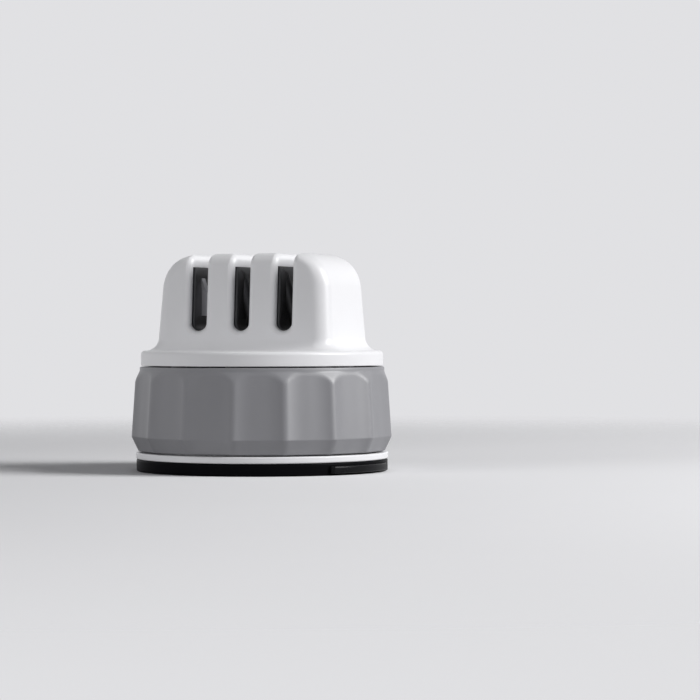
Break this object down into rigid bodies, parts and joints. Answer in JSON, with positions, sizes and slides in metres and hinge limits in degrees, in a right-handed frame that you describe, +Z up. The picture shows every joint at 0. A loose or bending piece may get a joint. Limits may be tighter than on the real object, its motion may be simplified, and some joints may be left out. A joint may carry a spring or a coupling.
{
  "type": "pull through knife sharpener",
  "caption": "Round countertop knife sharpener: a head with three pull-through slots on a suction cup that locks with a turn of the fluted ring.",
  "frame": {"origin": "middle of the face that stands on the table", "axes": "+Z up along the turning axis of the grip ring; +X along the row of stages, coarse to fine; +Y is the direction away from the user, in which the blade is pushed into the slots"},
  "size_m": [0.0634, 0.0634, 0.053],
  "materials": {
    "white_shell": "satin moulded",
    "grey_grip": "fine matte texture",
    "dark_insert": "matte",
    "cup_rubber": "satin",
    "slide_washer": "smooth",
    "steel": "turned",
    "carbide": "ground",
    "diamond_coat": "fine grit",
    "ceramic": "fine ground, dark"
  },
  "bodies": {
    "stand": {"suction_cup": "cup_rubber", "base_plate": "white_shell", "base_screws": "steel", "slip_washer": "slide_washer", "deck_plate": "white_shell", "head_screws": "steel", "head_shell": "white_shell", "insert_coarse": "dark_insert", "insert_medium": "dark_insert", "insert_fine": "dark_insert", "carbide_left": "carbide", "carbide_right": "carbide", "diamond_rod_left": "diamond_coat", "diamond_rod_right": "diamond_coat", "ceramic_rod_left": "ceramic", "ceramic_rod_right": "ceramic"},
    "grip": {"grip_ring": "grey_grip", "cam_plate": "dark_insert", "cam_screws": "steel"},
    "plunger": {"cup_stem": "steel", "lift_pin": "steel"}
  },
  "joints": [
    {"name": "grip_turn", "type": "hinge", "parent": "stand", "child": "grip", "pos_m": [0, 0, 0.015], "axis": [0, 0, -1], "range_deg": [0, 90]},
    {"name": "plunger_lift", "type": "slide", "parent": "stand", "child": "plunger", "axis": [0, 0, 1], "range_m": [0, 0.004], "deforming": ["suction_cup"]}
  ],
  "couplings": [
    {"joint": "plunger_lift", "follows": "grip_turn", "m_per_rad": 0.002546}
  ]
}
